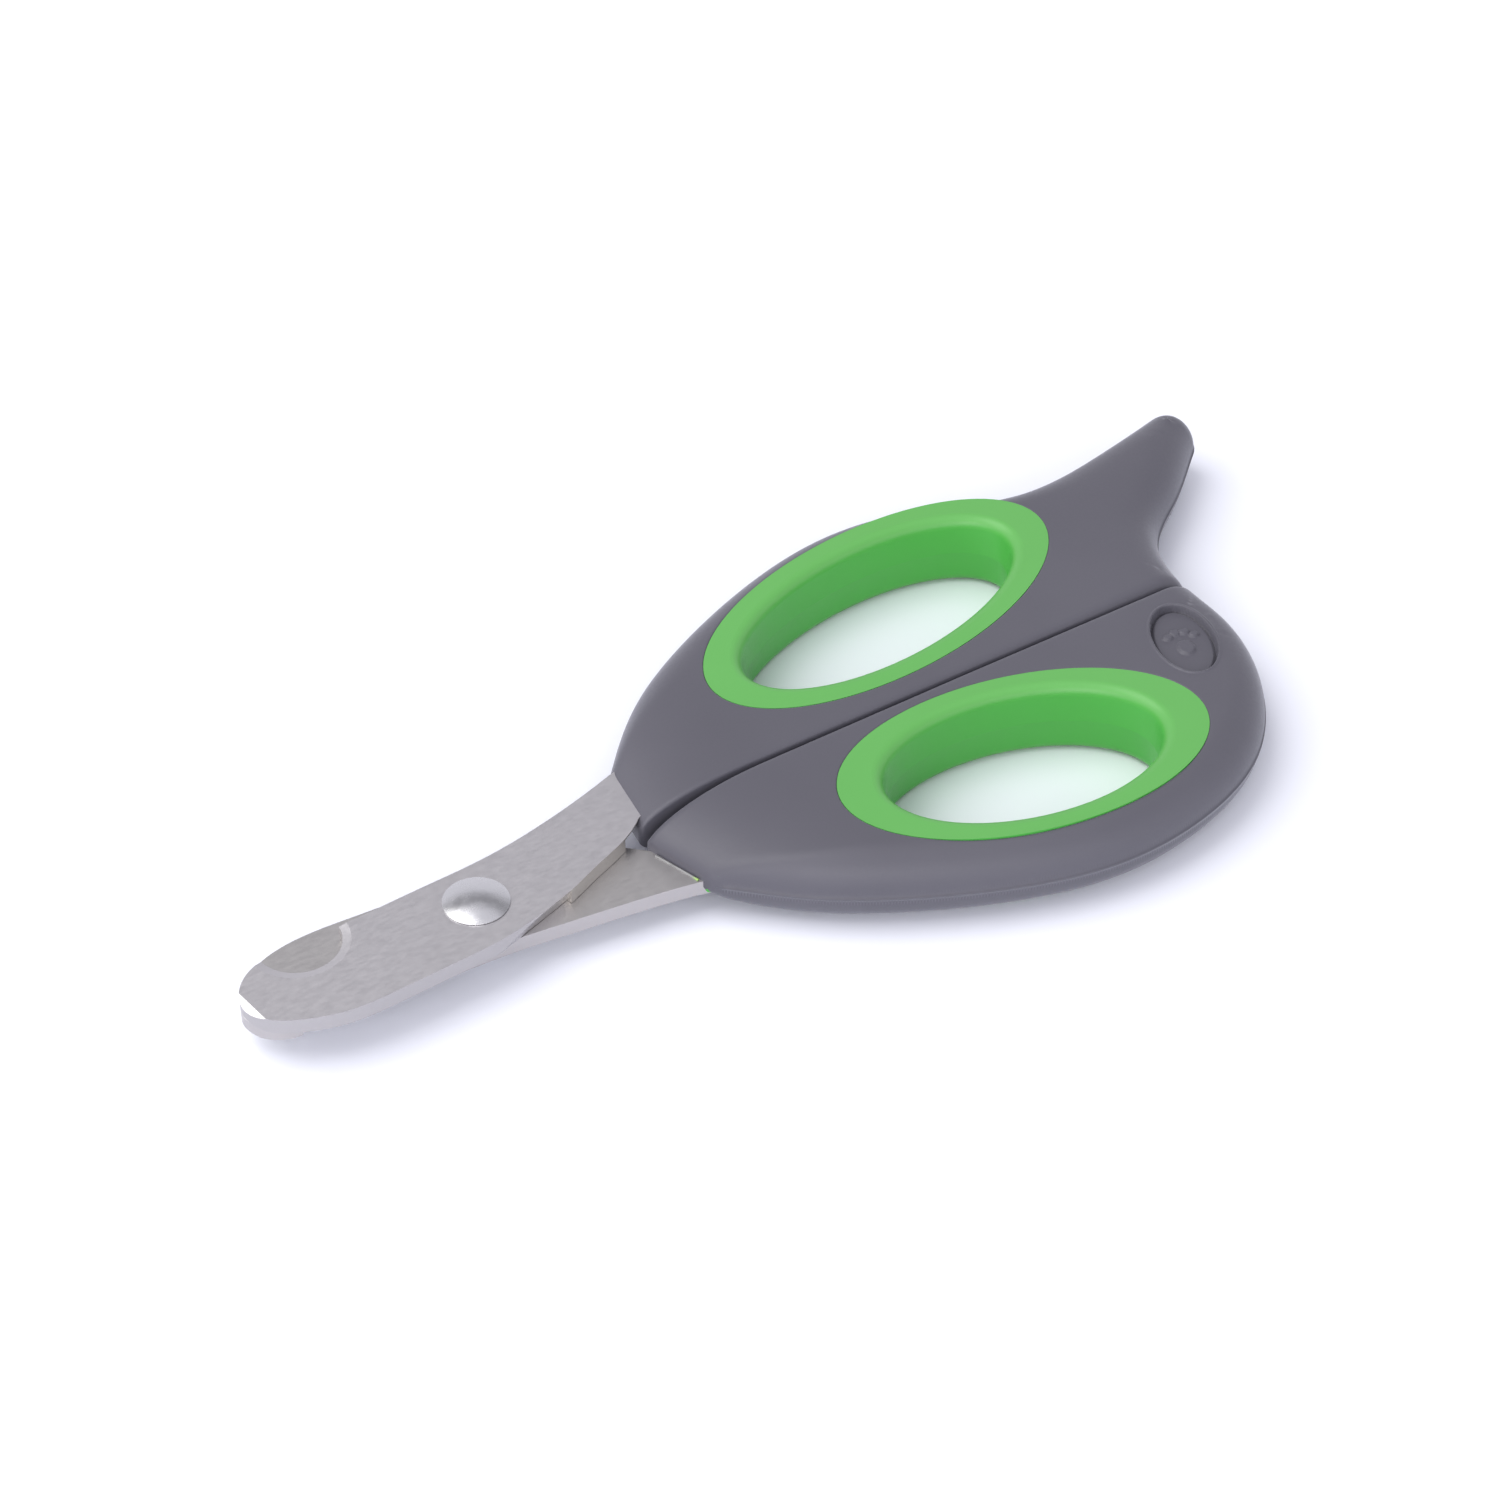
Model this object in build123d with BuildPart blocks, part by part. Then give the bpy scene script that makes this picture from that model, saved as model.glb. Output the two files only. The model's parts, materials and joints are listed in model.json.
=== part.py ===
"""Scissor nail clipper for cats and small dogs.

Two steel blades cross on a rivet. Each has a half-round claw notch near its blunt tip and a
tang that is moulded into a hard plastic core with a finger ring. A soft grip covers the core.
The upper half carries a finger rest on its tail. Dimensions are in millimetres.

Plan positions are measured from the pivot axis: x towards the handles, y towards the finger
rest. The model's own origin is on the table under the centre of the closed clipper.
"""

import os

from build123d import *

# --- driving dimensions ----------------------------------------------------------------
pivot_x, pivot_y = -41.64, -0.09    # pivot axis, from the model's origin
handle_height = 9.0                 # grips, from the table to their flat tops
mid_height = handle_height / 2      # level where the two blades meet
blade_stock = 1.8                   # steel thickness
blade_gap = 0.05                    # between faces that slide on each other
parting_gap = 0.4                   # between the two handles when closed

edge_radius = 3.3                   # rounding along the outside of the grips
edge_start = 25                     # behind this, from the pivot; the noses have their own slope
parting_radius = 0.7                # rounding along the grips' inner edges
nose_length = 13.0                  # over which the grips slope down to their noses
nose_face = 1.0                     # upright part of a nose, at mid height
upper_nose, upper_nose_skew = 19.65, 8.3    # from the pivot, and turned from the x axis
lower_nose, lower_nose_skew = 18.4, 17.7

notch_x, notch_y, notch_radius = -17.9, 4.9, 4.5
notch_bevel, notch_bevel_angle = 0.9, 160   # shallow bevel on the notch's outer rim
tip_x = -26.9                       # front of the closed tips
facet_run, facet_drop, facet_turn = 0.9, 0.4, 7    # polished facet that blunts each tip
tang_hole_x, tang_hole_y, tang_hole_radius = 28.5, 8.0, 1.3
relief_height, relief_angle = 1.6, 17   # undercut side of the upper blade, beside its tang
bevel_x, bevel_y = 8.8, -3.2        # foot of the steep ground bevel, where the undercut starts
bevel_run, bevel_turn, bevel_reach = 0.65, 17.5, 14     # it runs inwards as it rises

shank_radius, running_clearance = 2.2, 0.05
head_radius, head_rim, head_rise = 3.5, 0.1, 0.62
washer_radius, washer_height, washer_chamfer = 3.3, 0.6, 0.15
tail_radius, tail_rim, tail_rise = 2.9, 0.15, 0.55

ring_lip = 1.3                      # rounding of the finger openings' edges
ring_waist = 0.35                   # how far an opening narrows at mid height
flange_width, flange_height = 0.9, 3.0  # rib round each ring, keyed into the grip
arm_half = 1.3                      # half the height of the core's arms, inside the grip
lug_bottom, lug_top = -1.2, 0.25    # of the lower core's lug, from mid height

badge_x, badge_y, badge_turn = 83.9, -8.5, 70
badge_length, badge_width, badge_depth = 11.4, 6.9, 0.5
badge_rim, badge_rim_rise, paw_rise = 0.35, 0.12, 0.3

reach = 150                         # longer than any part of the clipper
upper_z = mid_height + blade_gap / 2
lower_z = mid_height - blade_gap / 2 - blade_stock
os.makedirs("parts", exist_ok=True)


def level(height):
    """A horizontal plane at that height, with its origin on the pivot axis."""
    return Plane((pivot_x, pivot_y, height))


def side_view(turn=0):
    """An upright plane on the pivot axis. Its x runs along the clipper and its y is up."""
    along = Vector(1, 0, 0).rotate(Axis.Z, turn)
    return Plane((pivot_x, pivot_y, 0), x_dir=along, z_dir=Vector(0, -1, 0).rotate(Axis.Z, turn))


def save(piece, name):
    piece.part.label = name
    export_step(piece.part, f"parts/{name}.step")


# --- blades ----------------------------------------------------------------------------
def tip_cut(height):
    """Keeps what lies behind the blunt tips' sloping facets, above and below."""
    top, facet_end = height + blade_stock, tip_x + facet_run
    with BuildPart() as kept:
        with BuildSketch(side_view(facet_turn)):
            with BuildLine():
                Polyline((facet_end, top), (tip_x, top - facet_drop), (tip_x, height + facet_drop),
                         (facet_end, height), (reach, height), (reach, top), close=True)
            make_face()
        extrude(amount=reach, both=True)
    return kept.part


def blade(side, height, hole_radius, edge, tang):
    """A blade: its visible edge, from tang round the tip and back, is one smooth line."""
    outside = height + blade_stock if side > 0 else height
    with BuildPart() as steel:
        with BuildSketch(level(height)):
            with BuildLine():
                Spline(*edge)
                Polyline(edge[-1], *tang, edge[0])
            make_face()
            with Locations((0, 0)):
                Circle(hole_radius, mode=Mode.SUBTRACT)
            with Locations((tang_hole_x, side * tang_hole_y)):
                Circle(tang_hole_radius, mode=Mode.SUBTRACT)
        extrude(amount=blade_stock)
        add(tip_cut(height), mode=Mode.INTERSECT)
        with Locations(Plane((pivot_x + notch_x, pivot_y + side * notch_y, outside), z_dir=(0, 0, side))):
            CounterSinkHole(notch_radius, notch_radius + notch_bevel, blade_stock, notch_bevel_angle)
    return steel


upper_edge = [(21.5, 9.1), (12, 6.5), (4, 5.2), (-5, 4.8), (-14, 4.55), (-21.2, 4.55),
              (-24.8, 3.2), (-26.9, -0.4), (-25.8, -3.2), (-22.6, -5.3), (-18.5, -6.6),
              (-13, -6.8), (-5, -6.5), (-0.5, -6.2), (2.6, -5.65), (5.2, -5.0), (8.8, -3.9),
              (13.1, -2.1), (17.1, -0.5), (20.5, 1.7)]
upper_tang = [(34.9, 8.8), (35.4, 10.6), (34.2, 12.0)]
relief = [(8.8, -3.2), (9.65, -2.8), (13.5, -1.3), (17.7, 0.1), (20.2, 2.2)]
pocket = [(17.7, -1.0), (17.7, 1.1), (21.5, 3.8), (21.5, 0.5)]
with BuildPart() as upper_blade:
    add(blade(1, upper_z, shank_radius + running_clearance, upper_edge, upper_tang))
    with BuildSketch(level(upper_z)):
        with BuildLine():
            Spline(*relief)
            Polyline(relief[-1], (23, -8), (8.8, -8), relief[0])
        make_face()
    extrude(amount=relief_height, taper=relief_angle, mode=Mode.SUBTRACT)
    with BuildSketch(level(upper_z)):
        with BuildLine():
            Polyline(*pocket, close=True)
        make_face()
    extrude(amount=relief_height, mode=Mode.SUBTRACT)
    along = Vector(-1, 0, 0).rotate(Axis.Z, bevel_turn)
    inwards = along.rotate(Axis.Z, -90)
    with BuildSketch(Plane((pivot_x + bevel_x, pivot_y + bevel_y, upper_z), x_dir=inwards, z_dir=along)):
        with BuildLine():
            Polyline((-bevel_run, -blade_stock), (2 * bevel_run, 2 * blade_stock),
                     (-bevel_reach, 2 * blade_stock), (-bevel_reach, -blade_stock), close=True)
        make_face()
    extrude(amount=bevel_reach, mode=Mode.SUBTRACT)
save(upper_blade, "upper_blade")

lower_edge = [(21.5, -8.25), (15.7, -7.2), (8.6, -6.2), (2, -5.3), (-5, -4.8), (-14, -4.55),
              (-21.6, -4.1), (-24.7, -3.1), (-26.7, -0.1), (-25.5, 2.9), (-22.8, 5.4),
              (-18.5, 6.75), (-13, 6.8), (-6, 6.3), (2, 5.75), (8, 3.4), (13, 0.9), (17, 0),
              (18.0, 0.3)]
lower_tang = [(19.95, -1.6), (24, -4.0), (34.9, -8.8), (35.4, -10.6), (34.2, -12.0)]
lower_blade = blade(-1, lower_z, shank_radius, lower_edge, lower_tang)
save(lower_blade, "lower_blade")


# --- rivet -----------------------------------------------------------------------------
def dome(radius, base, rim, rise):
    """Half section of a round head that rises (or hangs, if rise is negative) from base."""
    edge = base + rim
    with BuildLine() as section:
        Polyline((0, edge + rise), (0, base), (radius, base), (radius, edge))
        Spline((radius, edge), (0, edge + rise), tangents=[(-1, 2 * rise / radius), (-1, 0)])
    return section


under_head = upper_z + blade_stock + blade_gap
under_washer = lower_z - washer_height
with BuildPart() as pivot_rivet:
    with BuildSketch(side_view()):
        add(dome(head_radius, under_head, head_rim, head_rise))
        make_face()
        add(dome(tail_radius, under_washer, -tail_rim, -tail_rise))
        make_face()
        with Locations((0, under_washer)):
            Rectangle(shank_radius, under_head - under_washer, align=(Align.MIN, Align.MIN))
    revolve(axis=Axis((pivot_x, pivot_y, 0), (0, 0, 1)))
save(pivot_rivet, "pivot_rivet")

with BuildPart() as rivet_washer:
    with BuildSketch(level(under_washer)):
        Circle(washer_radius)
        Circle(shank_radius, mode=Mode.SUBTRACT)
    extrude(amount=washer_height)
    chamfer(rivet_washer.faces().sort_by(Axis.Z)[0].outer_wire().edges(), washer_chamfer)
save(rivet_washer, "rivet_washer")


# --- handle cores ----------------------------------------------------------------------
# A ring is the finger loop's flush oval face and its opening: half lengths and half widths.
upper_ring = {"centre": (59.8, 14.9), "tilt": 9.2, "face": (23.7, 11.6), "opening": (18.9, 8.7)}
lower_ring = {"centre": (58.5, -14.1), "tilt": -10.6, "face": (20.9, 11.9), "opening": (15.8, 9.2)}


def oval(ring, size, height, grow=0):
    """The ring's face or opening as an ellipse at that height, grown all round."""
    half_length, half_width = ring[size]
    with BuildSketch(level(height)) as sketch:
        with Locations(Location((*ring["centre"], 0), (0, 0, ring["tilt"]))):
            Ellipse(half_length + grow, half_width + grow)
    return sketch.sketch


def core(ring, arms, blade_part):
    """Hard core: a finger ring flush with the grip, and arms that run inside the grip.

    An arm is its lowest and highest level, from mid height, and its corners.
    """
    with BuildPart() as hard:
        extrude(oval(ring, "face", 0), amount=handle_height)
        extrude(oval(ring, "face", mid_height, flange_width), amount=flange_height / 2, both=True)
        for lowest, highest, corners in arms:
            with BuildSketch(level(mid_height + lowest)):
                with BuildLine():
                    Polyline(*corners, close=True)
                make_face()
            extrude(amount=highest - lowest)
        waist = oval(ring, "opening", mid_height, -ring_waist)
        for height in (0, handle_height):
            loft([waist, oval(ring, "opening", height)], ruled=True, mode=Mode.SUBTRACT)
        ends = hard.faces().filter_by(Plane.XY).sort_by(Axis.Z)
        fillet(ends[0].inner_wires()[0].edges() + ends[-1].inner_wires()[0].edges(), ring_lip)
        add(blade_part, mode=Mode.SUBTRACT)
    return hard


# The first arm of each core is the socket round the tang. The upper core's second stiffens
# the finger rest. The lower core's shows as a small lug beside the blade, in front of the grip.
upper_socket = [(23, 2.4), (23, 9.8), (34, 14.8), (40, 16), (40, 7), (34, 4)]
rest_arm = [(80, 13.5), (80, 19.5), (96, 21.0), (104.5, 24.6), (106, 22.4), (98, 17.2), (88, 11.5)]
upper_core = core(upper_ring, [(-arm_half, arm_half, upper_socket), (-arm_half, arm_half, rest_arm)],
                  upper_blade.part)
save(upper_core, "upper_handle_core")

lower_socket = [(23, -2.4), (23, -9.8), (34, -14.8), (42, -16), (42, -7), (34, -4)]
lug = [(22.2, -8.2), (22.2, -8.95), (23.5, -9.8), (23.5, -8.2)]
lower_core = core(lower_ring, [(-arm_half, arm_half, lower_socket), (lug_bottom, lug_top, lug)],
                  lower_blade.part)
save(lower_core, "lower_handle_core")


# --- grips -----------------------------------------------------------------------------
# Both grips are cut from one rounded shield shape along the parting between them.
outer_side = [(19, 6.7), (23.0, 11.2), (29, 17.1), (38, 22.75), (49, 27.35), (62, 30.0),
              (72.9, 28.45), (84.45, 24.45), (96.1, 25.3), (106.0, 27.5)]
tail_tip = (108.9, 21.6)
rear_side = [(101.9, 15.7), (95.1, 10.25), (91.8, 1.0), (91.9, -6.5), (88.9, -16.5), (81, -25.0),
             (71, -28.95), (60, -29.7), (48.2, -26.7), (38.3, -22.1), (29.5, -16.3),
             (23.5, -10.75), (19, -6.6)]
with BuildPart() as shield:
    with BuildSketch(level(0)):
        with BuildLine():
            side = Spline(*outer_side, tangents=[(1, 1.1), (1, 0.25)])
            tip = TangentArc(outer_side[-1], tail_tip, tangent=side % 1)
            Spline(tail_tip, *rear_side, tangents=[tip % 1, (-1, 1)])
            Line(rear_side[-1], outer_side[0])
        make_face()
    extrude(amount=handle_height)
    ends = shield.faces().filter_by(Plane.XY)
    rounded = [edge for edge in ends.edges() if edge.center().X > pivot_x + edge_start]
    fillet(rounded, radius=edge_radius)


def grip(side, nose, skew, ring, core_part, blade_part):
    """One half of the shield, sloped at its nose, with room for the core and the blade."""
    nose_end = nose + nose_length
    drop = (handle_height - nose_face) / 2
    with BuildPart() as soft:
        add(shield.part)
        with BuildSketch(level(0)):
            with Locations((0, side * parting_gap / 2)):
                Rectangle(reach, reach, align=(Align.MIN, Align.MIN if side > 0 else Align.MAX))
        extrude(amount=handle_height, mode=Mode.INTERSECT)
        with BuildSketch(side_view(-side * skew)):
            with Locations((nose_end, drop), (nose_end, handle_height - drop)):
                Ellipse(nose_length, drop)
            with Locations((nose, mid_height)):
                Rectangle(nose_length, nose_face, align=(Align.MIN, Align.CENTER))
            with Locations((nose_end, 0)):
                Rectangle(reach, handle_height, align=(Align.MIN, Align.MIN))
        extrude(amount=reach, both=True, mode=Mode.INTERSECT)
        inner_face = soft.faces().filter_by(Plane.XZ).sort_by(Axis.Y)[0 if side > 0 else -1]
        fillet(inner_face.edges().filter_by(Axis.X), radius=parting_radius)
        extrude(oval(ring, "face", 0), amount=handle_height, mode=Mode.SUBTRACT)
        add(core_part, mode=Mode.SUBTRACT)
        add(blade_part, mode=Mode.SUBTRACT)
    return soft


upper_grip = grip(1, upper_nose, upper_nose_skew, upper_ring, upper_core.part, upper_blade.part)
save(upper_grip, "upper_handle_grip")

# The lower grip has a sunken oval badge near its rear, with a plain paw print in relief.
paw_pads = [(-0.9, 0, 1.6, 1.25), (1.25, 1.75, 0.62, 0.85), (2.0, 0.6, 0.62, 0.9),
            (2.0, -0.6, 0.62, 0.9), (1.25, -1.75, 0.62, 0.85)]
with BuildPart() as lower_grip:
    add(grip(-1, lower_nose, lower_nose_skew, lower_ring, lower_core.part, lower_blade.part).part)
    badge_spot = Location((badge_x, badge_y, 0), (0, 0, badge_turn))
    with BuildSketch(level(handle_height)):
        with Locations(badge_spot):
            Ellipse(badge_length / 2 + badge_rim, badge_width / 2 + badge_rim)
    extrude(amount=badge_rim_rise)
    with BuildSketch(level(handle_height - badge_depth)):
        with Locations(badge_spot):
            Ellipse(badge_length / 2, badge_width / 2)
    extrude(amount=badge_depth + badge_rim_rise, mode=Mode.SUBTRACT)
    with BuildSketch(level(handle_height - badge_depth)):
        with Locations(badge_spot):
            for pad_x, pad_y, half_x, half_y in paw_pads:
                with Locations((pad_x, pad_y)):
                    Ellipse(half_x, half_y)
    extrude(amount=paw_rise)
save(lower_grip, "lower_handle_grip")
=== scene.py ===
"""Looks of the scissor nail clipper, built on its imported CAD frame.

The scene is in metres, on the frame's own axes. The grips' plan is in mm from the pivot.
"""

import json

import bpy
import numpy as np
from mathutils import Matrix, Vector
from mathutils.geometry import delaunay_2d_cdt

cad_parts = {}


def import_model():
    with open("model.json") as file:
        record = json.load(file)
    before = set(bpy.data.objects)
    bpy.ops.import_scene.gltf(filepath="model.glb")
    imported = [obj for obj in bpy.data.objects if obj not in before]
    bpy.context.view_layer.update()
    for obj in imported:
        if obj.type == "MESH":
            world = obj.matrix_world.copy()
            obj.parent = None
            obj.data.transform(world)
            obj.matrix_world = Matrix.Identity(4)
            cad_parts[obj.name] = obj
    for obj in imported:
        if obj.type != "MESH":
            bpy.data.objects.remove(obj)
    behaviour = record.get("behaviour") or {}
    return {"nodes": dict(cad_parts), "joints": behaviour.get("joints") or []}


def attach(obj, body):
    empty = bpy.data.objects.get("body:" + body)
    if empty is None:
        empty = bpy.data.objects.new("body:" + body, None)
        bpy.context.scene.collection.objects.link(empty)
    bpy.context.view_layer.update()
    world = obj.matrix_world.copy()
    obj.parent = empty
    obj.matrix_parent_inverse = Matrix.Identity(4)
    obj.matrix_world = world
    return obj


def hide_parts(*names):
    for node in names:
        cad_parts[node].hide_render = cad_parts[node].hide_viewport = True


MM = 0.001

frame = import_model()
bpy.context.view_layer.update()
scene = bpy.context.scene
PIVOT = Vector(frame["joints"][0]["pos_m"])


# ---------------------------------------------------------------- node helpers
class Nodes:
    """A material's node tree, with short calls for the nodes used here."""

    def __init__(self, name):
        self.material = bpy.data.materials.new(name)
        self.material.use_nodes = True
        self.tree = self.material.node_tree
        self.shader = self.tree.nodes["Principled BSDF"]
        self.place = self.add("ShaderNodeTexCoord").outputs["Object"]

    def add(self, kind, **values):
        node = self.tree.nodes.new(kind)
        for key, value in values.items():
            setattr(node, key, value)
        return node

    def link(self, source, target):
        self.tree.links.new(source, target)

    def scaled(self, scale):
        """Object coordinates in metres times a factor along each axis."""
        node = self.add("ShaderNodeMapping")
        self.link(self.place, node.inputs["Vector"])
        node.inputs["Scale"].default_value = scale
        return node.outputs["Vector"]

    def noise(self, scale, detail, roughness=0.5, stretch=(1, 1, 1)):
        node = self.add("ShaderNodeTexNoise")
        self.link(self.scaled(stretch), node.inputs["Vector"])
        node.inputs["Scale"].default_value = scale
        node.inputs["Detail"].default_value = detail
        node.inputs["Roughness"].default_value = roughness
        return node.outputs["Fac"]

    def spread(self, value, low, high, start=0.3, end=0.7):
        """Maps value from start..end to low..high."""
        node = self.add("ShaderNodeMapRange")
        self.link(value, node.inputs["Value"])
        node.inputs["From Min"].default_value = start
        node.inputs["From Max"].default_value = end
        node.inputs["To Min"].default_value = low
        node.inputs["To Max"].default_value = high
        return node.outputs["Result"]

    def mix(self, factor, first, second):
        node = self.add("ShaderNodeMix", data_type="RGBA")
        self.link(factor, node.inputs["Factor"])
        for socket, colour in ((node.inputs[6], first), (node.inputs[7], second)):
            if isinstance(colour, tuple):
                socket.default_value = (*colour, 1.0)
            else:
                self.link(colour, socket)
        return node.outputs[2]

    def level(self):
        """1 on level surfaces, 0 on upright ones."""
        split = self.add("ShaderNodeSeparateXYZ")
        self.link(self.add("ShaderNodeNewGeometry").outputs["Normal"], split.inputs[0])
        upward = self.add("ShaderNodeMath", operation="ABSOLUTE")
        self.link(split.outputs["Z"], upward.inputs[0])
        return upward.outputs[0]

    def coordinate(self, axis):
        """Object coordinate along X, Y or Z, in metres."""
        split = self.add("ShaderNodeSeparateXYZ")
        self.link(self.place, split.inputs[0])
        return split.outputs[axis]

    def bump(self, height, distance, strength):
        node = self.add("ShaderNodeBump")
        self.link(height, node.inputs["Height"])
        node.inputs["Distance"].default_value = distance
        node.inputs["Strength"].default_value = strength
        return node.outputs["Normal"]

    def set(self, **values):
        for key, value in values.items():
            socket = self.shader.inputs[key.replace("_", " ")]
            if isinstance(value, bpy.types.NodeSocket):
                self.link(value, socket)
            else:
                socket.default_value = value


# ---------------------------------------------------------------- materials
BEVEL_SPAN = PIVOT.x + 3 * MM, PIVOT.x + 8 * MM  # where the upper blade's bevel fades in, with its painted light
# dark and light are the steel's own random tone; side is painted shade on upright faces; bevel is
# painted light on the bevel wall
UPPER_STEEL = {
    "dark": (0.645, 0.63, 0.642),
    "light": (0.67, 0.655, 0.667),
    "side": (0.47, 0.455, 0.46),
    "bevel_painted_light": (0.76, 0.735, 0.69),
}
# darker than the upper blade's steel: painted shade for the lower blade, which lies under the upper
# one; side is painted shade on its upright faces
LOWER_STEEL = {
    "dark": (0.56, 0.545, 0.535),
    "light": (0.595, 0.58, 0.57),
    "side": (0.5, 0.48, 0.48),
}


def ground_steel(name, dark, light, side, bevel_painted_light=None):
    """Satin steel whose upright sides are darker, as painted shade; along BEVEL_SPAN they turn to
    the bevelled wall's colour, a painted light.
    """
    m = Nodes(name)
    blotch = m.noise(70, detail=3)
    grain = m.noise(2600, detail=3, roughness=0.6, stretch=(0.35, 1, 1))
    face = m.mix(m.spread(blotch, 0, 1), dark, light)
    # along BEVEL_SPAN the sides turn to the lighter bevel colour: painted light on a wall that faces
    # down into shade
    if bevel_painted_light:
        side = m.mix(m.spread(m.coordinate("X"), 0, 1, *BEVEL_SPAN), side, bevel_painted_light)
    # upright faces get the side colour: painted shade
    m.set(
        Base_Color=m.mix(m.spread(m.level(), 0, 1, start=0.1, end=0.5), side, face),
        Metallic=1.0,
        Roughness=m.spread(grain, 0.38, 0.46),
        Normal=m.bump(grain, distance=0.001 * MM, strength=0.2),
    )
    return m.material


def polished_steel():
    """Bright steel with light scuffs and the faint waves of a peened head."""
    m = Nodes("polished_rivet_steel")
    scuff = m.noise(900, detail=4, roughness=0.6)
    m.set(
        Base_Color=(0.74, 0.74, 0.755, 1),
        Metallic=1.0,
        Roughness=m.spread(scuff, 0.2, 0.3),
        Normal=m.bump(m.noise(420, detail=2), distance=0.06 * MM, strength=0.5),
    )
    return m.material


def green_plastic():
    """Hard plastic, deeper green on the walls of the finger holes than on level faces, as painted
    shade set by the surface's tilt.
    """
    m = Nodes("green_moulded_plastic")
    cloud = m.noise(60, detail=2)
    fine = m.noise(3500, detail=2)
    # the deeper green of the upright walls is painted shade
    wall_painted_shade = (0.078, 0.41, 0.066)
    face = m.mix(m.spread(cloud, 0, 1), (0.118, 0.395, 0.093), (0.125, 0.41, 0.099))
    m.set(
        Base_Color=m.mix(m.spread(m.level(), 0, 1, start=0.1, end=0.6), wall_painted_shade, face),
        Roughness=m.spread(fine, 0.3, 0.4),
        Normal=m.bump(fine, distance=0.004 * MM, strength=0.3),
        Specular_IOR_Level=0.35,
    )
    return m.material


def soft_rubber():
    """Matt grey rubber with a fine skin and a faint sheen."""
    m = Nodes("grey_soft_rubber")
    cloud = m.noise(45, detail=3)
    fine = m.noise(3000, detail=3, roughness=0.6)
    m.set(
        Base_Color=m.mix(m.spread(cloud, 0, 1), (0.085, 0.083, 0.102), (0.095, 0.093, 0.113)),
        Roughness=m.spread(fine, 0.42, 0.54),
        Sheen_Weight=0.3,
        Sheen_Roughness=0.35,
        Sheen_Tint=(0.92, 0.93, 1, 1),
        Normal=m.bump(fine, distance=0.01 * MM, strength=0.4),
    )
    return m.material


MATERIALS = {
    "blade_steel": ground_steel("satin_upper_steel", **UPPER_STEEL),
    "rivet_metal": polished_steel(),
    "core_plastic": green_plastic(),
    "grip_rubber": soft_rubber(),
}
for node in frame["nodes"].values():
    for slot in node.material_slots:
        slot.material = MATERIALS[slot.material.name]
# the lower blade's own darker copy of the steel: painted shade
lower_steel = ground_steel("satin_lower_steel_painted_shade", **LOWER_STEEL)
for slot in frame["nodes"]["lower_blade"].material_slots:
    slot.material = lower_steel


# ---------------------------------------------------------------- outlines, in mm from the pivot
def bend(points, start, end, step=0.1):
    """A smooth line through points, with its directions at both ends, as close points."""
    p = np.array(points, float)
    span = np.linalg.norm(np.diff(p, axis=0), axis=1)
    count = len(p)
    grid, right = np.zeros((count, count)), np.zeros((count, 2))
    grid[0, 0] = grid[-1, -1] = 1
    right[0], right[-1] = (np.array(v) / np.linalg.norm(v) for v in (start, end))
    for i in range(1, count - 1):
        before, after = span[i - 1], span[i]
        grid[i, i - 1 : i + 2] = 1 / before, 2 / before + 2 / after, 1 / after
        right[i] = 3 * (p[i] - p[i - 1]) / before**2 + 3 * (p[i + 1] - p[i]) / after**2
    slope = np.linalg.solve(grid, right)
    pieces = []
    for i in range(count - 1):
        t = np.arange(0, 1, step / span[i])[:, None]
        pieces.append(
            (1 + 2 * t) * (1 - t) ** 2 * p[i]
            + t**2 * (3 - 2 * t) * p[i + 1]
            + span[i] * t * (1 - t) ** 2 * slope[i]
            + span[i] * t**2 * (t - 1) * slope[i + 1]
        )
    return np.vstack([*pieces, p[-1:]])


def arc_from(start, direction, end, count=40):
    """The circular arc that leaves start in that direction and reaches end."""
    start, end = np.array(start), np.array(end)
    heading = np.array(direction) / np.linalg.norm(direction)
    chord = end - start
    half = np.arctan2(heading[0] * chord[1] - heading[1] * chord[0], heading @ chord)
    normal = np.array((-heading[1], heading[0]))
    radius = np.linalg.norm(chord) / (2 * np.sin(half))
    angle = np.linspace(0, 2 * half, count)[:, None]
    return start + radius * (np.sin(angle) * heading + (1 - np.cos(angle)) * normal)


def cut(line, first, last, step):
    """The line without its first and last lengths, as points about a step apart."""
    along = np.concatenate([[0], np.cumsum(np.linalg.norm(np.diff(line, axis=0), axis=1))])
    wanted = np.linspace(first, along[-1] - last, max(2, round((along[-1] - first - last) / step)))
    return np.column_stack([np.interp(wanted, along, line[:, k]) for k in (0, 1)])


def rounded_loop(sides, radii, step):
    """Joins sides end to end. radii[k] rounds the corner where sides[k] ends."""
    loop = []
    for k, side in enumerate(sides):
        follower = sides[(k + 1) % len(sides)]
        corner = (side[-1] + follower[0]) / 2
        here = cut(side, radii[k - 1], radii[k], step)
        there = cut(follower, radii[k], radii[(k + 1) % len(sides)], step)[0]
        t = np.linspace(0, 1, max(3, round(2 * radii[k] / step)))[1:-1, None]
        loop += [here, (1 - t) ** 2 * here[-1] + 2 * t * (1 - t) * corner + t**2 * there]
    return np.vstack(loop)


def inside(points, loop):
    """Which points lie inside the closed loop."""
    a, b = loop, np.roll(loop, -1, axis=0)
    crossed = np.zeros(len(points), int)
    for (ax, ay), (bx, by) in zip(a, b):
        spans = (ay > points[:, 1]) != (by > points[:, 1])
        if by != ay:
            crossed += spans & (points[:, 0] < ax + (points[:, 1] - ay) * (bx - ax) / (by - ay))
    return crossed % 2 == 1


AT_ONCE = 500


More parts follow.
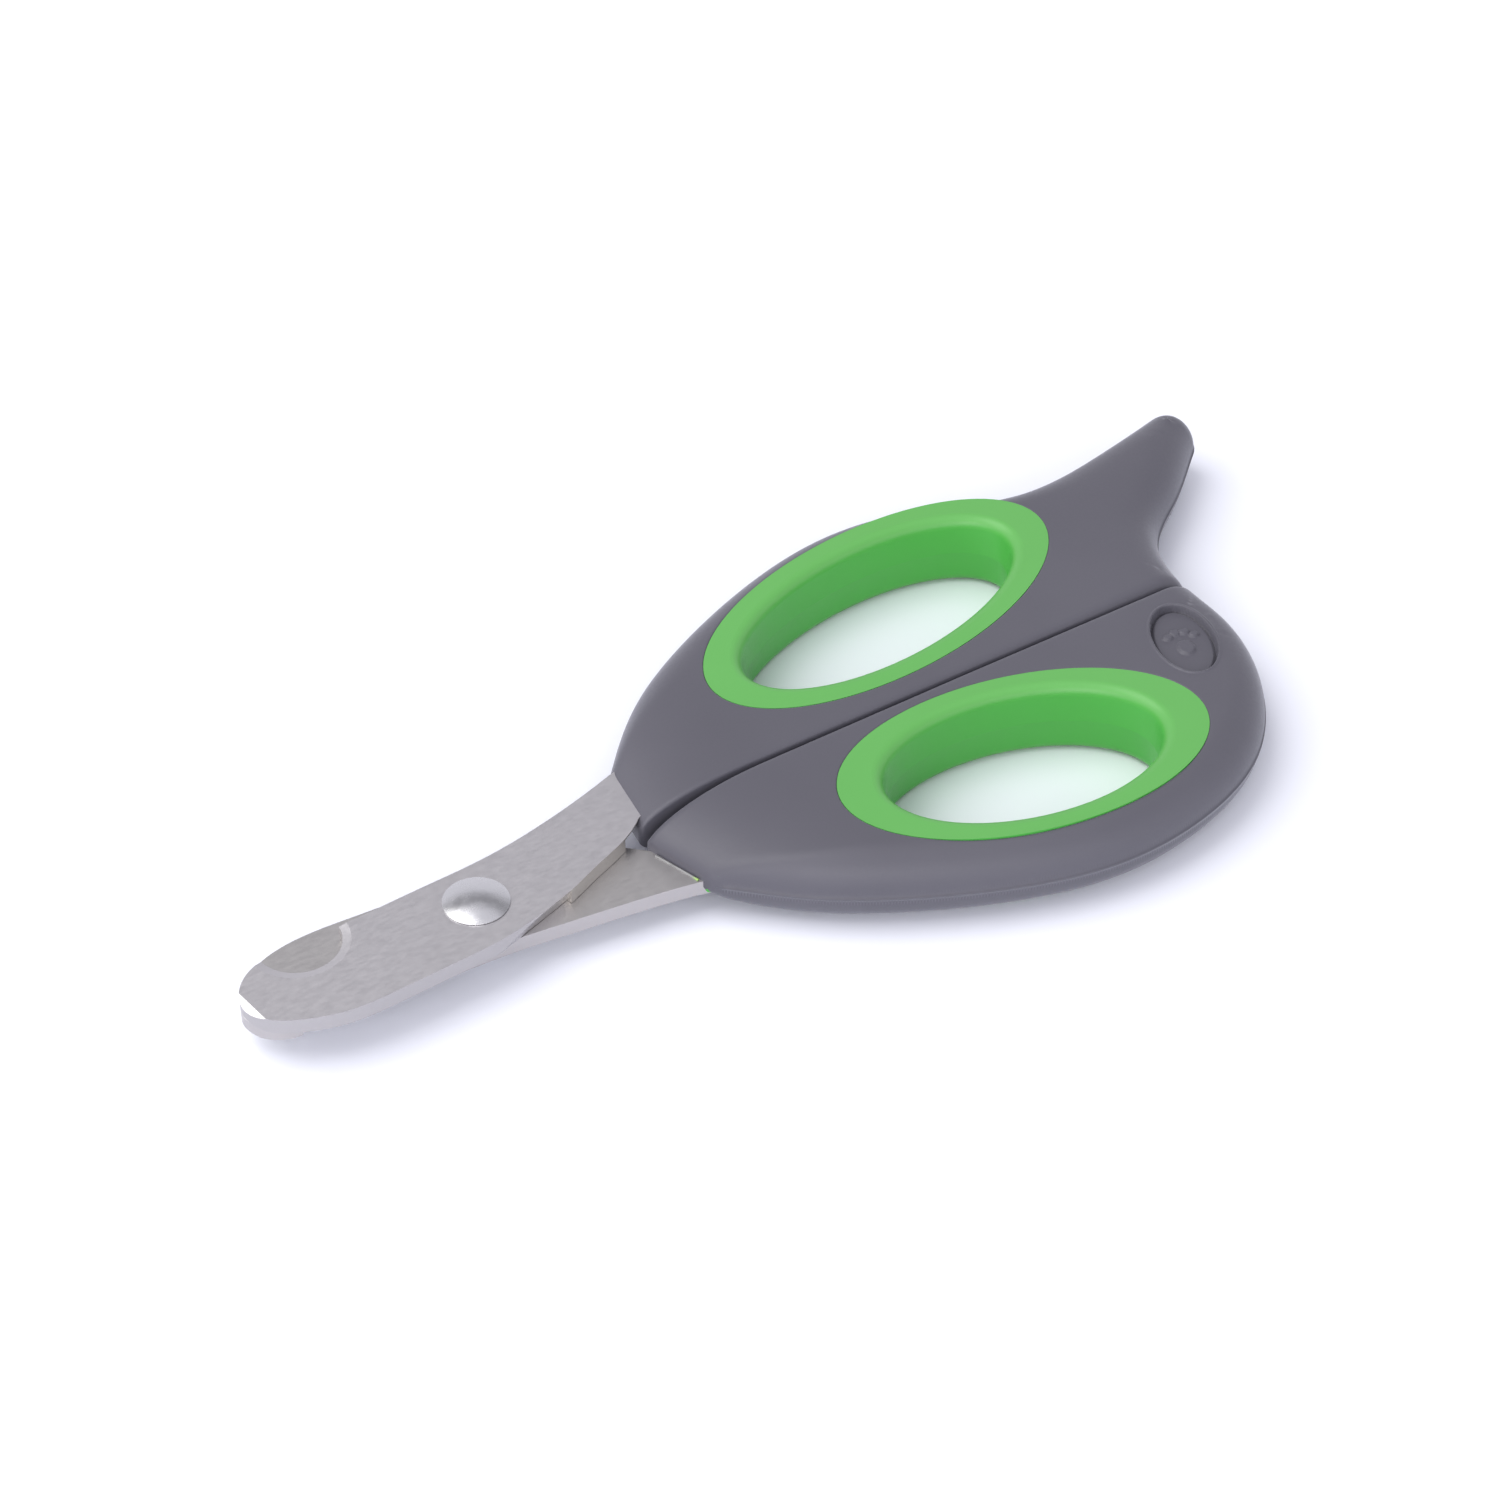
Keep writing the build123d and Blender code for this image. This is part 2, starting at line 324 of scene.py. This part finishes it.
def away(points, line):
    """Distance of each point from a line, worked out for some points at a time."""
    best = np.full(len(points), np.inf)
    a, b = line[:-1], line[1:]
    for start in range(0, len(points), AT_ONCE):
        block = points[start : start + AT_ONCE, None]
        t = ((block - a) * (b - a)).sum(2) / np.maximum(((b - a) ** 2).sum(1), 1e-12)
        near = a + np.clip(t, 0, 1)[..., None] * (b - a)
        best[start : start + AT_ONCE] = np.linalg.norm(block - near, axis=2).min(1)
    return best


# ---------------------------------------------------------------- grips
HALF_HEIGHT = 4.5  # of a grip, from mid height to its flat top
SIDE_RADIUS = 4.3  # rounding of the grips' sides
LEDGE, LEDGE_HALF = 0.1, 0.12  # mould line that stands proud of the sides at mid height
NOSE_LENGTH, NOSE_HALF = 13.0, 0.5  # a nose slopes down over this length to this half height
BLEND = 6  # how tightly the side and nose roundings meet
CORNER_RADII = [1.2, 0.6, 0.9]  # of the plan: the parting's rear and nose ends, the nose's outer end
PARTING = 0.2  # half the gap between the grips, where it is narrow
WIDENING_START, WIDENING_LENGTH, WIDENING_MOST = 36, 15, 1.5  # of that gap towards the noses
EDGE_SHARE = 0.75  # of the half height, the most that a parting edge may round off
RING_GAP, RING_ROUND = 0.02, 0.1  # between a ring and its grip, and the grip's edge there
RIDGE_DEPTH, TAIL_SPAN = (1.6, 2.8), (86, 92)  # where the tail's ridge is softened
SOFTENING, SOFTENING_ROUNDS = 0.8, 8

LOOP_STEP, GRID_STEP = 0.32, 0.75  # between the points along edges and on flat tops
SIDE_LAYERS = 15  # lines of points down the round side
LAYER_SHARE = 0.93  # a layer's points nearer to the edge than this share of its offset are dropped
GRID_CLEAR, RING_CLEAR, BADGE_CLEAR = 0.8, 0.45, 0.55  # free strips beside closer points
RING_LINES = (0.02, 0.05, 0.1, 0.22, 0.4)  # from the edge round the ring to lines of points
MERGE = 1e-5  # points nearer to each other than this become one

# both grips' outline, from the upper nose to the tail and from there to the lower nose
OUTER_SIDE = [
    (19, 6.7), (23, 11.2), (29, 17.1), (38, 22.75), (49, 27.35), (62, 30),
    (72.9, 28.45), (84.45, 24.45), (96.1, 25.3), (106, 27.5),
]
TAIL_TIP = (108.9, 21.6)
REAR_SIDE = [
    TAIL_TIP, (101.9, 15.7), (95.1, 10.25), (91.8, 1), (91.9, -6.5), (88.9, -16.5), (81, -25),
    (71, -28.95), (60, -29.7), (48.2, -26.7), (38.3, -22.1), (29.5, -16.3), (23.5, -10.75),
    (19, -6.6),
]


def shield_outline():
    """Both grips' outline, from the upper nose round the tail to the lower nose."""
    outer = bend(OUTER_SIDE, start=(1, 1.1), end=(1, 0.25))
    arc = arc_from(outer[-1], outer[-1] - outer[-2], TAIL_TIP)
    rear = bend(REAR_SIDE, start=arc[-1] - arc[-2], end=(-1, 1))
    return np.vstack([outer, arc[1:], rear[1:]])


class Oval:
    """An ellipse in plan."""

    def __init__(self, centre, tilt, half_length, half_width):
        self.centre = np.array(centre)
        angle = np.radians(tilt)
        self.axes = np.array([[np.cos(angle), np.sin(angle)], [-np.sin(angle), np.cos(angle)]])
        self.half = np.array([half_length, half_width])

    def local(self, points):
        return (points - self.centre) @ self.axes.T

    def outside(self, points):
        """Distance outwards from the edge, in mm. It is close to true near the edge."""
        local = self.local(points)
        level = np.linalg.norm(local / self.half, axis=1)
        slope = np.linalg.norm(local / self.half**2, axis=1) / np.maximum(level, 1e-6)
        return (level - 1) / np.maximum(slope, 1e-6)

    def loop(self, grow, step):
        """Points about a step apart on the ellipse that is larger by grow all round."""
        half = self.half + grow
        count = max(8, round(np.pi * half.sum() / step))
        angle = np.linspace(0, 2 * np.pi, count, endpoint=False)[:, None]
        local = np.hstack([np.cos(angle), np.sin(angle)]) * half
        return local @ self.axes + self.centre


UPPER_RING = Oval((59.8, 14.9), tilt=9.2, half_length=23.7, half_width=11.6)
LOWER_RING = Oval((58.5, -14.1), tilt=-10.6, half_length=20.9, half_width=11.9)
BADGE = Oval((83.9, -8.5), tilt=70, half_length=5.7, half_width=3.45)
BADGE_RIM, BADGE_DEPTH, BADGE_GROOVE, PAD_HEIGHT = 0.11, 0.7, 0.45, 0.3
BADGE_WALL, GROOVE_FADE = (-0.08, -0.02), (-0.5, -0.25)  # distances from the badge's edge
BADGE_REACH, BADGE_STEP = 6, 0.13  # of the close points on the badge
BADGE_LINES = (
    (-0.5, -0.4, -0.3, -0.25, -0.2, -0.14, -0.1, -0.075, -0.05, -0.02)
    + (0.02, 0.05, 0.2, 0.27, 0.34, 0.5)
)  # distances from the badge's edge where its relief needs points
PAW_PADS = [  # centre and half sizes, on the badge's own axes
    (-0.85, 0, 1.35, 1.1), (1.1, 1.5, 0.5, 0.62), (1.75, 0.55, 0.52, 0.68),
    (1.75, -0.55, 0.52, 0.68), (1.1, -1.5, 0.5, 0.62),
]


def rise(value, low, high):
    """0 below low, 1 above high, smooth between."""
    t = np.clip((value - low) / (high - low), 0, 1)
    return t * t * (3 - 2 * t)


def quarter(share):
    """Height of a round edge, 0 to 1, at a share of its width in from the side."""
    return np.sqrt(1 - (1 - np.clip(share, 0, 1)) ** 2)


def badge_relief(points):
    """Sunken oval with a thin raised rim and a plain paw print."""
    edge = BADGE.outside(points)
    rim = BADGE_RIM * rise(edge, -0.02, 0.05) * (1 - rise(edge, 0.2, 0.34))
    within = 1 - rise(edge, *BADGE_WALL)
    sunken = -BADGE_DEPTH * within
    groove = -BADGE_GROOVE * within * rise(edge, *GROOVE_FADE)
    local = BADGE.local(points)
    pads = np.zeros(len(points))
    for x, y, half_x, half_y in PAW_PADS:
        spot = np.hypot((local[:, 0] - x) / half_x, (local[:, 1] - y) / half_y)
        pads = np.maximum(pads, PAD_HEIGHT * (1 - rise(spot, 0.72, 1)))
    return rim + sunken + groove + pads


def around(loop):
    """The closed loop as a line that ends where it starts."""
    return np.vstack([loop, loop[:1]])


def grid_points(low, high, step):
    """Points of a square grid between two corners."""
    mesh = np.meshgrid(*(np.arange(a, b, step) for a, b in zip(low, high)))
    return np.column_stack([m.ravel() for m in mesh])


def unit(vectors):
    """The vectors, each made 1 long."""
    return vectors / np.linalg.norm(vectors, axis=1)[:, None]


def soften_tail(plan, tris, height, depth):
    """Rounds the ridge where the tail's two sides meet."""
    pairs = np.vstack([tris[:, [0, 1]], tris[:, [1, 2]], tris[:, [2, 0]]])
    count = np.bincount(pairs.ravel(), minlength=len(plan))
    share = rise(depth, *RIDGE_DEPTH) * rise(plan[:, 0], *TAIL_SPAN) * SOFTENING
    for _ in range(SOFTENING_ROUNDS):
        total = np.bincount(pairs[:, 0], height[pairs[:, 1]], len(plan))
        total += np.bincount(pairs[:, 1], height[pairs[:, 0]], len(plan))
        height = height + share * (total / count - height)
    return height


def closed_shell(name, plan, tris, top, low):
    """A closed piece: the plan's triangles at both heights, and a strip along every border."""
    a, b, c = (plan[tris[:, k]] for k in range(3))
    turned = (b - a)[:, 0] * (c - a)[:, 1] - (b - a)[:, 1] * (c - a)[:, 0] < 0
    tris[turned] = tris[turned][:, ::-1]
    sides = np.vstack([tris[:, [0, 1]], tris[:, [1, 2]], tris[:, [2, 0]]])
    known = {tuple(s) for s in sides.tolist()}
    border = [(i, j) for i, j in known if (j, i) not in known]
    count = len(plan)
    place = np.column_stack([plan, top]), np.column_stack([plan, low])
    verts = (np.vstack(place) * MM + np.array(PIVOT)).tolist()
    faces = tris.tolist() + (tris[:, ::-1] + count).tolist()
    faces += [(j, i, i + count, j + count) for i, j in border]
    mesh = bpy.data.meshes.new(name)
    mesh.from_pydata(verts, [], faces)
    mesh.validate()
    mesh.polygons.foreach_set("use_smooth", [True] * len(mesh.polygons))
    piece = bpy.data.objects.new(name, mesh)
    scene.collection.objects.link(piece)
    return piece


class Grip:
    """One soft grip: a plan outline filled with close points and given its height by rules.

    side is 1 for the upper grip and -1 for the lower. The nose ends at the distance nose from the
    pivot, along a line turned by skew degrees. roundings are places along the parting and the
    radius of its edge there.
    """

    def __init__(self, side, nose, skew, gap, roundings, ring, badge):
        self.side, self.ring, self.badge = side, ring, badge
        self.nose, self.gap, self.roundings = nose, gap, roundings
        angle = np.radians(-side * skew)
        self.along = np.array([np.cos(angle), np.sin(angle)])
        outline = shield_outline()
        kept = (outline @ self.along > nose) & (outline[:, 1] * side > self.parting(outline[:, 0]))
        self.outline = outline[kept]
        if side < 0:
            self.outline = self.outline[::-1]
        x = np.linspace(self.outline[-1, 0], nose / self.along[0], 400)
        line = np.column_stack([x, side * self.parting(x)])
        parting_line = line[line @ self.along > nose]
        nose_line = np.vstack([parting_line[-1], self.outline[0]])
        sides = [self.outline, parting_line, nose_line]
        self.loop = rounded_loop(sides, CORNER_RADII, LOOP_STEP)

    def parting(self, x):
        """Half the gap between the grips, which widens towards their noses."""
        ahead = np.clip((WIDENING_START - x) / WIDENING_LENGTH, 0, WIDENING_MOST)
        return PARTING + self.gap * ahead**2

    def half_height(self, points):
        """Height of the side and nose rounding, and each point's depth behind the mould line."""
        depth = away(points, self.outline) - LEDGE
        side = LEDGE_HALF + (HALF_HEIGHT - LEDGE_HALF) * quarter(depth / SIDE_RADIUS)
        behind = points @ self.along - self.nose
        nose = NOSE_HALF + (HALF_HEIGHT - NOSE_HALF) * quarter(behind / NOSE_LENGTH)
        low = (1 - np.stack([side, nose]) / HALF_HEIGHT) ** BLEND
        return HALF_HEIGHT * (1 - low.sum(0) ** (1 / BLEND)), depth

    def edge_drop(self, points, height):
        """How far the parting edge and the edge round the ring are rounded down."""
        x = points[:, 0]
        radius = np.minimum(np.interp(x, *self.roundings), EDGE_SHARE * height)
        depth = points[:, 1] * self.side - self.parting(x)
        parting = radius * (1 - quarter(depth / np.maximum(radius, 0.01)))
        ring = RING_ROUND * (1 - quarter((self.ring.outside(points) - RING_GAP) / RING_ROUND))
        return parting + ring

    def side_points(self):
        """Lines of points inside the loop, closest together where the side is steepest."""
        inward = np.roll(self.loop, -1, axis=0) - np.roll(self.loop, 1, axis=0)
        inward = unit(np.column_stack([-inward[:, 1], inward[:, 0]]))
        if not inside(self.loop[:1] + inward[:1] * 0.05, self.loop)[0]:
            inward = -inward
        between = (self.loop + np.roll(self.loop, -1, axis=0)) / 2
        between_inward = unit(inward + np.roll(inward, -1, axis=0))
        lines = [(self.loop, inward), (between, between_inward)]
        turns = np.radians(np.linspace(0, 90, SIDE_LAYERS))
        offsets = [LEDGE * 0.9, *(LEDGE + SIDE_RADIUS * (1 - np.cos(turns)))]
        layers = []
        for k, offset in enumerate(offsets):
            base, direction = lines[k % 2]
            moved = base + direction * offset
            layers.append(moved[away(moved, around(self.loop)) > LAYER_SHARE * offset])
        return np.vstack(layers)

    def top_points(self):
        """A grid on the flat top, clear of the side, the ring and its edge."""
        grid = grid_points(self.loop.min(0), self.loop.max(0), GRID_STEP)
        deep = away(grid, around(self.loop)) > SIDE_RADIUS + 0.5
        return grid[deep & inside(grid, self.loop) & (self.ring.outside(grid) > GRID_CLEAR)]

    def plan_points(self):
        """All the points that fill the plan inside its edges."""
        points = np.vstack([self.side_points(), self.top_points()])
        clear = self.ring.outside(points) > RING_CLEAR
        points = points[inside(points, self.loop) & clear]
        if self.badge:
            corner = np.full(2, BADGE_REACH)
            patch = grid_points(-corner, corner, BADGE_STEP) @ BADGE.axes + BADGE.centre
            points = points[BADGE.outside(points) > GRID_CLEAR]
            lines = [BADGE.loop(grow, 0.2) for grow in BADGE_LINES]
            points = np.vstack([points, patch[BADGE.outside(patch) < -BADGE_CLEAR], *lines])
        lines = [self.ring.loop(RING_GAP + grow, LOOP_STEP) for grow in RING_LINES]
        return np.vstack([points, *lines])

    def build(self, name):
        """The grip as a closed piece, with its hole for the ring."""
        hole = self.ring.loop(RING_GAP, LOOP_STEP)
        edges, start = [], 0
        for line in (self.loop, hole):
            count = len(line)
            edges += [(start + i, start + (i + 1) % count) for i in range(count)]
            start += count
        points = np.vstack([self.loop, hole, self.plan_points()])
        corners = [Vector(p) for p in points.tolist()]
        found, _, faces, *_ = delaunay_2d_cdt(corners, edges, [], 0, MERGE)
        plan = np.array([tuple(v) for v in found])
        tris = np.array(faces)
        middle = plan[tris].mean(1)
        tris = tris[inside(middle, self.loop) & ~inside(middle, hole)]
        used, tris = np.unique(tris, return_inverse=True)
        tris = tris.reshape(-1, 3)
        plan = plan[used]
        height, depth = self.half_height(plan)
        height = soften_tail(plan, tris, height, depth)
        top = height - self.edge_drop(plan, height)
        low = -top
        if self.badge:
            top = top + badge_relief(plan)
        return closed_shell(name, plan, tris, top, low)


upper_grip = Grip(
    side=1,
    nose=19.65,
    skew=8.3,
    gap=0.4,
    roundings=([20, 45, 75, 91], [0.35, 0.5, 0.9, 1.6]),
    ring=UPPER_RING,
    badge=False,
)
lower_grip = Grip(
    side=-1,
    nose=18.4,
    skew=17.7,
    gap=0.55,
    roundings=([20, 34, 60, 91], [1.1, 0.7, 0.6, 0.8]),
    ring=LOWER_RING,
    badge=True,
)
for grip, node, body in (
    (upper_grip, "upper_handle_grip", "upper_half"),
    (lower_grip, "lower_handle_grip", "lower_half"),
):
    piece = grip.build("soft_" + node)
    piece.data.materials.append(MATERIALS["grip_rubber"])
    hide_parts(node)
    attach(piece, body)


# ---------------------------------------------------------------- flash line, in mm from the pivot
BEAD_POINTS = [(19.95, -2.5), (20.75, -4.95), (21.1, -6.05), (21.7, -8.0)]
BEAD_HEADING = (0.3, -1)  # at both ends
BEAD_RADIUS, BEAD_STEP = 0.13, 0.3
BEAD_GREEN_START, BEAD_GREEN_FULL = -7.2, -7.9  # across, where its outer end turns green


def pale_flash():
    """Pale plastic that turns green at the outer end."""
    m = Nodes("pale_flash")
    pale = m.mix(m.spread(m.noise(900, detail=2), 0, 1), (0.22, 0.22, 0.22), (0.3, 0.3, 0.3))
    full, start = PIVOT.y + BEAD_GREEN_FULL * MM, PIVOT.y + BEAD_GREEN_START * MM
    green = m.spread(m.coordinate("Y"), 1, 0, full, start)
    m.set(Base_Color=m.mix(green, pale, (0.34, 0.55, 0.14)), Roughness=0.5)
    return m.material


def flash_bead():
    """Thin line of pale plastic squeezed out where the lower grip's nose meets its blade."""
    line = bend(BEAD_POINTS, BEAD_HEADING, BEAD_HEADING, BEAD_STEP)
    curve = bpy.data.curves.new("bead_line", "CURVE")
    curve.dimensions = "3D"
    curve.bevel_depth = BEAD_RADIUS * MM
    path = curve.splines.new("POLY")
    path.points.add(len(line) - 1)
    for point, (x, y) in zip(path.points, line):
        point.co = (PIVOT.x + x * MM, PIVOT.y + y * MM, PIVOT.z, 1)
    shape = bpy.data.objects.new("bead_line", curve)
    scene.collection.objects.link(shape)
    bpy.context.view_layer.update()
    finished = shape.evaluated_get(bpy.context.evaluated_depsgraph_get())
    mesh = bpy.data.meshes.new_from_object(finished)
    bpy.data.objects.remove(shape)
    piece = bpy.data.objects.new("lower_flash_bead", mesh)
    scene.collection.objects.link(piece)
    piece.data.materials.append(pale_flash())
    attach(piece, "lower_half")


flash_bead()


# ---------------------------------------------------------------- floor, light and camera
FLOOR_SIZE, FLOOR_DROP = 6, 0.1 * MM  # the drop keeps the floor off the grips' flat undersides
SKY_STOPS = ((0.0, 0.8), (0.55, 0.76), (0.66, 0.28), (0.8, 0.28), (0.88, 0.75))
SKY_TINT = (0.97, 0.96, 1.04)
WINDOW_SIDE, WINDOW_STRENGTH = (-0.6, -0.8, 0), 2.2  # the room is brighter towards this side
LAMP_COLOUR = (1, 0.99, 0.975)
LENS, SENSOR = 96, 36
VIEW_BACK = (-0.408, -0.628, 0.663)  # from the clipper towards the camera
VIEW_AIM, VIEW_DISTANCE = (37.18, 6.08, 0), 427.2  # in mm, the aim from the pivot


def floor():
    m = Nodes("pale_floor")
    cloud = m.spread(m.noise(20, detail=2), 0, 1)
    m.set(Base_Color=m.mix(cloud, (0.88, 0.9, 0.97), (0.9, 0.92, 0.985)), Roughness=0.6)
    bpy.ops.mesh.primitive_plane_add(size=FLOOR_SIZE, location=(0, 0, -FLOOR_DROP))
    plane = bpy.context.object
    plane.name = "floor"
    plane.data.materials.append(m.material)


def area_light(name, place, size, power):
    """A round soft light that points at the middle of the frame."""
    data = bpy.data.lights.new(name, "AREA")
    data.shape = "DISK"
    data.size = size
    data.energy = power
    data.color = LAMP_COLOUR
    light = bpy.data.objects.new(name, data)
    scene.collection.objects.link(light)
    light.location = place
    light.rotation_mode = "QUATERNION"
    light.rotation_quaternion = (-Vector(place)).to_track_quat("-Z", "Y")


def world():
    """A sky whose brightness follows height, and grows towards the window's side."""
    scene.world = bpy.data.worlds.new("studio")
    scene.world.use_nodes = True
    tree = scene.world.node_tree
    background = tree.nodes["Background"].inputs
    place = tree.nodes.new("ShaderNodeTexCoord").outputs["Generated"]
    split = tree.nodes.new("ShaderNodeSeparateXYZ")
    ramp = tree.nodes.new("ShaderNodeValToRGB")
    tree.links.new(place, split.inputs["Vector"])
    tree.links.new(split.outputs["Z"], ramp.inputs["Fac"])
    tree.links.new(ramp.outputs["Color"], background["Color"])
    elements = ramp.color_ramp.elements
    while len(elements) < len(SKY_STOPS):
        elements.new(0.5)
    for element, (height, level) in zip(elements, SKY_STOPS):
        element.position = height
        element.color = (*(level * share for share in SKY_TINT), 1)
    facing = tree.nodes.new("ShaderNodeVectorMath")
    facing.operation = "DOT_PRODUCT"
    facing.inputs[1].default_value = WINDOW_SIDE
    window = tree.nodes.new("ShaderNodeMapRange")
    window.inputs["To Min"].default_value = 1
    window.inputs["To Max"].default_value = WINDOW_STRENGTH
    tree.links.new(place, facing.inputs[0])
    tree.links.new(facing.outputs["Value"], window.inputs["Value"])
    tree.links.new(window.outputs["Result"], background["Strength"])


def camera():
    data = bpy.data.cameras.new("camera")
    data.sensor_width = SENSOR
    data.lens = LENS
    data.clip_start = 0.01
    data.clip_end = 20
    view = bpy.data.objects.new("camera", data)
    scene.collection.objects.link(view)
    back = Vector(VIEW_BACK).normalized()
    view.location = PIVOT + Vector(VIEW_AIM) * MM + back * VIEW_DISTANCE * MM
    view.rotation_mode = "QUATERNION"
    view.rotation_quaternion = (-back).to_track_quat("-Z", "Y")
    scene.camera = view


floor()
world()
area_light("key", place=(-0.54, 0.32, 1.0), size=1.1, power=9)
area_light("fill", place=(-0.75, -0.95, 0.85), size=0.9, power=5)
camera()
scene.view_settings.view_transform = "Standard"
